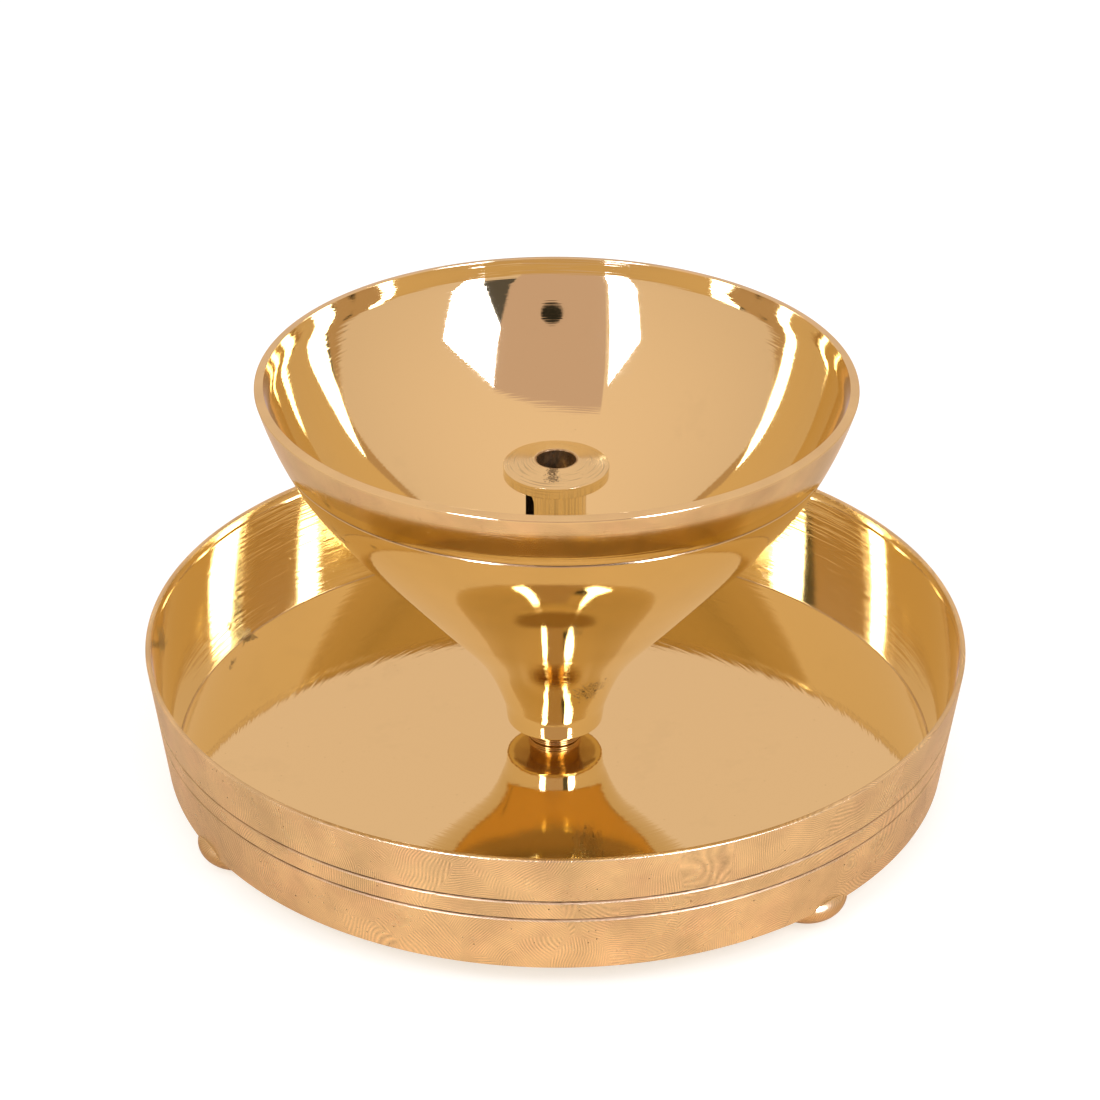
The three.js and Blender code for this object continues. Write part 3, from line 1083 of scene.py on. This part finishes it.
wickMaterial = brassMaterial(
    "wickBrass",
    roughPolished=0.19,
    ringSpacing=0.24,
    ringWander=0.7,
    ringHeight=11.0,
    ringTone=0.25,
    drawnTone=0.22,
    pitSpacing=1.6,
    dirtGrain=0.5,
    dirtLeast=0.5,
    # chips in front of the bore
    blots=[
        ((-0.5, -3.3, 45.4), 0.75, 0.22, 2.2, 0.95, 0.3),
        ((-0.5, -4.6, 45.1), 0.8, 0.2, 2.6, 0.9, 0.3),
    ],
)
wickPiece = cutAway(turnPiece("wick_tube_flanged", wickRows(), wickMaterial, 160), wickSlot())
standFor(wickPiece, "wick_tube", "wick_brass", "wick_tube")

washer = dict(bottom=20.6, thickness=0.6, radius=5.0, bore=3.0)


def washerRows():
    low, high = washer["bottom"], washer["bottom"] + washer["thickness"]
    corners = [
        corner(washer["bore"], low),
        corner(washer["radius"], low, 0.08),
        corner(washer["radius"], high, 0.08),
        corner(washer["bore"], high, 0.05),
    ]
    return profile(corners, loop=True)


washerMaterial = brassMaterial(
    "washerBrass", roughPolished=0.2, ringSpacing=0.3, ringHeight=1.0
)
washerPiece = turnPiece("washer_thin", washerRows(), washerMaterial, 96)
standFor(washerPiece, "wick_washer", "washer_brass", "wick_washer")

# Clamp screw
screw = dict(
    headLow=0.5,
    headHigh=1.5,
    headRadius=4.5,
    bevel=0.3,
    shaftRadius=2.0,
    tip=12.5,
    tipBevel=0.6,
    slotWidth=1.0,
    slotDepth=0.45,
)


def screwRows():
    low, high, tip = screw["headLow"], screw["headHigh"], screw["tip"]
    shaft = screw["shaftRadius"]
    corners = [
        corner(0, low),
        corner(screw["headRadius"] - screw["bevel"], low, 0.15),
        corner(screw["headRadius"], low + screw["bevel"], 0.15),
        corner(screw["headRadius"], high, 0.05),
        corner(shaft, high),
        corner(shaft, tip - screw["tipBevel"], 0.1),
        corner(shaft - screw["tipBevel"], tip, 0.1),
        corner(0, tip),
    ]
    return profile(corners)


def screwSlot():
    half, depth, low = screw["slotWidth"] / 2, screw["slotDepth"], screw["headLow"]
    low, high = low - depth, low + depth
    outline = ((-half, low), (half, low), (half, high), (-half, high))
    reach = 1.5 * screw["headRadius"]
    return prismCutter("screwSlot", outline, -reach, reach)


screwMaterial = brassMaterial("screwBrass", roughPolished=0.22, ringSpacing=0.3, ringHeight=1.5)
screwPiece = cutAway(turnPiece("clamp_screw_slotted", screwRows(), screwMaterial, 96), screwSlot())
standFor(screwPiece, "root", "screw_brass", "clamp_screw")

# Feet
feet = dict(
    radius=5.3,
    padRadius=1.0,
    belly=3.1,  # height of the widest place
    shoulder=1.5,  # from the widest place up to the top
    shoulderInset=2.1,
    steps=16,
    ring=48.5,  # radius of the circle that they stand on
    frontMiddle=261.5,
    frontSpread=99.0,
    seam=0.02,
)


def footRows():
    pad, radius, belly = feet["padRadius"], feet["radius"], feet["belly"]
    shoulder, inset = feet["shoulder"], feet["shoulderInset"]
    angles = [math.pi / 2 * i / feet["steps"] for i in range(feet["steps"] + 1)]
    spots = [(0.0, 0.0)]
    spots += [(pad + (radius - pad) * math.sin(a), belly * (1 - math.cos(a))) for a in angles]
    spots += [
        (radius - inset * (1 - math.cos(a)), belly + shoulder * math.sin(a)) for a in angles[1:]
    ]
    spots.append((0.0, belly + shoulder))
    return [(*spot, 1.0, 0.0, 0.0) for spot in spots]


def makeFeetTree():
    # the turned foot, set at four places round the tray
    tree, given, result = newTree(
        "GeometryNodeTree",
        "feetRoundTray",
        {
            "Profile": "Geometry",
            "Segments": 64,
            "Ring Radius": 0.05,
            "Front Middle": 4.56,
            "Front Spread": 1.73,
            "Material": "Material",
        },
        {"Feet": "Geometry"},
    )
    tree.is_modifier = True
    shared = {label: given[label] for label in ("Profile", "Segments", "Material")}
    foot = wired("GeometryNodeGroup", shared, node_tree=latheTree)[0]
    index = addNode(tree, "GeometryNodeInputIndex").outputs[0]
    odd = calc("MODULO", index, 2.0)
    pair = calc("FLOOR", over(plus(index, 0.5), 2.0))
    lean = times(minus(odd, 0.5), given["Front Spread"])
    azimuth = plus(given["Front Middle"], lean)
    azimuth = timesPlus(pair, math.pi, azimuth)
    spot = joined(*onCircle(given["Ring Radius"], azimuth))
    placed = chain(
        wired("GeometryNodePoints", {"Count": 4, "Position": spot})[0],
        ("InstanceOnPoints", {"Instance": foot}),
        ("RealizeInstances", {}),
        ("SetMaterial", {"Material": given["Material"]}),
    )
    feed(result["Feet"], placed)
    return tree


footMaterial = brassMaterial(
    "footBrass", satin=brass["foot"], roughSatin=0.3, swirlPatch=3.0, toneSpread=0.25
)


def makeFeet():
    values = {
        "Segments": 72,
        "Ring Radius": feet["ring"] * mm,
        "Front Middle": math.radians(feet["frontMiddle"]),
        "Front Spread": math.radians(feet["frontSpread"]),
        "Material": footMaterial,
    }
    piece = shapedByNodes(profileObject("tray_feet", footRows()), makeFeetTree(), values)
    # the tray's underside and wall, a seam away, shape the feet's tops
    seam, rim, under = feet["seam"], tray["rim"], tray["underside"] - feet["seam"]
    corners = [
        corner(0, under),
        corner(tray["edgeRadius"] - tray["bevel"], under, 0.5),
        corner(tray["edgeRadius"] + seam, tray["edge"] - seam, 0.35),
        corner(tray["rimRadius"] + seam, rim),
        corner(0, rim),
    ]
    return cutAway(piece, turnPiece("overTray", profile(corners), footMaterial))


feetPiece = makeFeet()
standFor(
    feetPiece,
    "root",
    "foot_brass",
    "foot_front_left",
    "foot_front_right",
    "foot_back_right",
    "foot_back_left",
)

# Studio
studio = dict(
    floorRadius=1500.0,
    floorDrop=0.02,
    floorColour=0.82,
    floorGrain=0.006,
    floorNoise=(900.0, 2.0),
    floorRough=0.9,
    cameraTint=(0.44, 0.52, 0.62, 1),  # share of the floor's own light that the camera sees
    cameraLift=(0.74, 0.67, 0.58, 1),  # and what is added to it, warm, so the shadow shows a painted peach glow of light from the brass
    glossyLift=0.06,
    glossyTint=(0.933, 0.66, 0.487, 1),  # painted warm light of the tent on the floor, in front of the tray
    glossyAside=0.87,  # painted shade: the floor's level beside and behind it
    glossyFront=(-0.95, -0.4),
    ambient=0.85,
    tent=(0.845, 0.18, -0.052),  # level, change with height, change with depth
    tentColour=(0.965, 0.69, 0.545, 1),
    panelColour=(0.695, 0.469, 0.411, 1),
    lensColour=(0.03, 0.025, 0.02, 1),
    lensBounce=2.5,  # after two reflections the lens is lost in the panel
    lens=(30, 23.5),
    lensAside=14.0,
    lampPlace=(420, -300, 520),
    lampAim=(0, 0, 20),
    lampSize=300,
    lampPower=1.3,
)


softboxColour = (1, 1.05, 1.6, 1)
# colour, strength, place behind the lens, and corners across and up from the camera
cards = {
    "rightSoftbox": (softboxColour, 14.0, 4, (
        (228, -76), (163, 33), (199, 174), (405, 88), (338, -68), (300, -230), (250, -230),
    )),
    "leftSoftbox": (softboxColour, 14.0, 4, (
        (-149, -68), (-156, 163), (-258, 73), (-239, -66), (-230, -230), (-152, -230),
    )),
    "panelRoundCamera": (studio["panelColour"], 1.0, 6, (
        (-140, -230), (100, -230), (128, -79), (163, 33), (204, 183), (8, 185), (-143, 204),
        (-139, 9),
    )),
    "shadeBesidePanel": ((0.12, 0.1, 0.095, 1), 1.0, 5, (
        (128, -79), (120, -125), (250, -125), (228, -76), (163, 33),
    )),
}


def flatMesh(name, corners):
    mesh = bpy.data.meshes.new(name)
    mesh.from_pydata([Vector(spot) * mm for spot in corners], [], [tuple(range(len(corners)))])
    return mesh


def ellipse(width, height, count):
    angles = [math.tau * i / count for i in range(count)]
    return [(width * math.cos(a), height * math.sin(a)) for a in angles]


def makeCard(name, corners, behind, material):
    turn = math.radians(shot["tiltDown"])
    right = Vector((1, 0, 0))
    up = Vector((0, math.sin(turn), math.cos(turn)))
    back = Vector((0, -math.cos(turn), math.sin(turn)))
    centre = Vector(shot["place"]) + back * behind
    card = linked(name, flatMesh(name, [centre + right * x + up * y for x, y in corners]))
    card.data.materials.append(material)
    # only reflections see a card
    card.visible_camera = False
    card.visible_diffuse = False
    card.visible_shadow = False


def glowing(name, colour, strength=1.0):
    material, tree = newMaterial(name)
    tree.nodes.clear()
    glow = addNode(tree, "ShaderNodeEmission", {"Color": colour, "Strength": strength})
    addNode(tree, "ShaderNodeOutputMaterial", {"Surface": glow.outputs[0]})
    return material


def makeCards():
    for name, (colour, strength, behind, corners) in cards.items():
        makeCard(name, corners, behind, glowing(name, colour, strength))
    dark = glowing("lensFront", studio["lensColour"])
    tree = dark.node_tree
    bounces = addNode(tree, "ShaderNodeLightPath").outputs["Glossy Depth"]
    lost = calc("GREATER_THAN", bounces, studio["lensBounce"])
    shown = mixColour(lost, studio["lensColour"], studio["panelColour"])
    feed(tree.nodes["Emission"].inputs["Color"], shown)
    rim = [(studio["lensAside"] + x, y) for x, y in ellipse(*studio["lens"], 48)]
    makeCard("lensFront", rim, 3, dark)


def floorMaterial():
    # pale, takes the shadow, and reads as white beside it
    material, tree = newMaterial("floorPaper")
    shader = tree.nodes["Principled BSDF"].inputs
    place = objectPlace(tree)
    path = addNode(tree, "ShaderNodeLightPath").outputs
    middle, grain = studio["floorColour"], studio["floorGrain"]
    paper = noise(place, *studio["floorNoise"])
    pale = greyTone(remap(paper, 0.3, 0.7, middle - grain, middle + grain))
    # painted light: brass shows the floor lit in the tent's warm tone, and darker beside and
    # behind the tray as painted shade
    depth = split(vectorCalc("NORMALIZE", place))[1]
    aside = studio["glossyAside"]
    level = remap(depth, *studio["glossyFront"], 1.0, aside, smooth=True)
    warm = mixColour(1.0, studio["glossyTint"], greyTone(level), "MULTIPLY")
    seen, glossy = path["Is Camera Ray"], path["Is Glossy Ray"]
    tint = mixColour(glossy, white, warm)
    tint = mixColour(seen, tint, studio["cameraTint"])
    feed(shader["Base Color"], mixColour(1.0, pale, tint, "MULTIPLY"))
    feed(shader["Roughness"], studio["floorRough"])
    feed(shader["Specular IOR Level"], 0.0)
    lift = scaled(warm, times(glossy, studio["glossyLift"]))
    feed(shader["Emission Color"], mixColour(seen, lift, studio["cameraLift"]))
    feed(shader["Emission Strength"], 1.0)
    return material


def makeWorld():
    world = bpy.data.worlds.new("tent")
    scene.world = world
    world.use_nodes = True
    tree = world.node_tree
    background = tree.nodes["Background"].inputs
    across, ahead, height = split(addNode(tree, "ShaderNodeTexCoord").outputs["Generated"])
    level, rise, depth = studio["tent"]
    tent = timesPlus(height, rise, level)
    tent = timesPlus(ahead, depth, tent)
    path = addNode(tree, "ShaderNodeLightPath").outputs
    shine = highest(path["Is Glossy Ray"], path["Is Transmission Ray"])
    strength = mixValue(shine, studio["ambient"], tent)
    strength = mixValue(path["Is Camera Ray"], strength, 1.0)
    feed(background["Color"], mixColour(shine, white, studio["tentColour"]))
    feed(background["Strength"], strength)


def makeStudio():
    makeCards()
    rim = ellipse(studio["floorRadius"], studio["floorRadius"], 128)
    floor = linked("floor", flatMesh("floor", [(x, y, -studio["floorDrop"]) for x, y in rim]))
    floor.data.materials.append(floorMaterial())
    makeWorld()
    aside, front, height = studio["lampPlace"]
    for name, side in (("softLampLeft", -1), ("softLampRight", 1)):
        data = bpy.data.lights.new(name, "AREA")
        data.size = studio["lampSize"] * mm
        data.energy = studio["lampPower"]
        lamp = linked(name, data)
        spot = Vector((side * aside, front, height))
        lamp.location = spot * mm
        aim = Vector(studio["lampAim"]) - spot
        lamp.rotation_euler = aim.to_track_quat("-Z", "Y").to_euler()
        lamp.visible_glossy = False
        lamp.visible_camera = False


makeStudio()
print("studio made")
